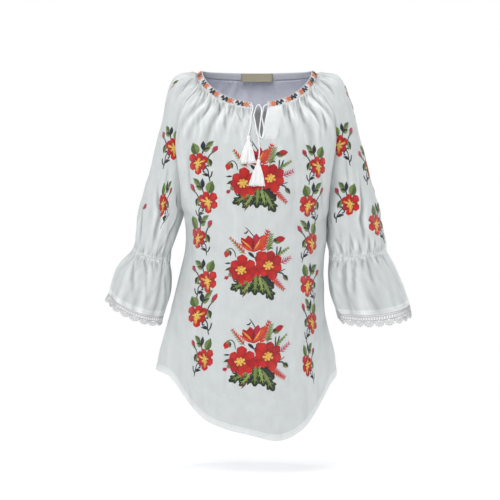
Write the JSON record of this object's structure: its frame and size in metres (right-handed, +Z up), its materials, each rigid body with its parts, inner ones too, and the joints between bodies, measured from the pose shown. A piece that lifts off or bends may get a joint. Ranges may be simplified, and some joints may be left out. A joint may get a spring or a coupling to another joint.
{
  "type": "romanian ie blouse",
  "caption": "Hip-length folk blouse, filled out and hollow, with a gathered neck on a band, a tied slit, gathered sleeves with bell flounces and lace, and a shirt-tail hem.",
  "frame": {"origin": "middle of the neck opening at the height of the shoulders, where the wearer's shoulders hold the blouse", "axes": "+Z up, -Y the blouse's front, +X the viewer's right when facing the front"},
  "size_m": [0.6133, 0.2476, 0.7281],
  "materials": {
    "white_cloth": "matt crinkled white cotton muslin, embroidered on the front and sleeves",
    "neckband_cloth": "white cotton band with woven orange flowers and dark leaves",
    "cotton_lace": "white crocheted cotton lace",
    "cotton_cord": "white twisted cotton cord and threads",
    "label_tape": "bare olive woven tape"
  },
  "bodies": {
    "root": {"front": "white_cloth", "back": "white_cloth", "neckband": "neckband_cloth", "sleeve_left": "white_cloth", "sleeve_right": "white_cloth", "flounce_left": "white_cloth", "flounce_right": "white_cloth", "lace_left": "cotton_lace", "lace_right": "cotton_lace", "slit_facing": "white_cloth", "label": "label_tape", "drawstring_left": "cotton_cord", "drawstring_right": "cotton_cord", "tassel_left": "cotton_cord", "tassel_right": "cotton_cord"}
  },
  "joints": []
}
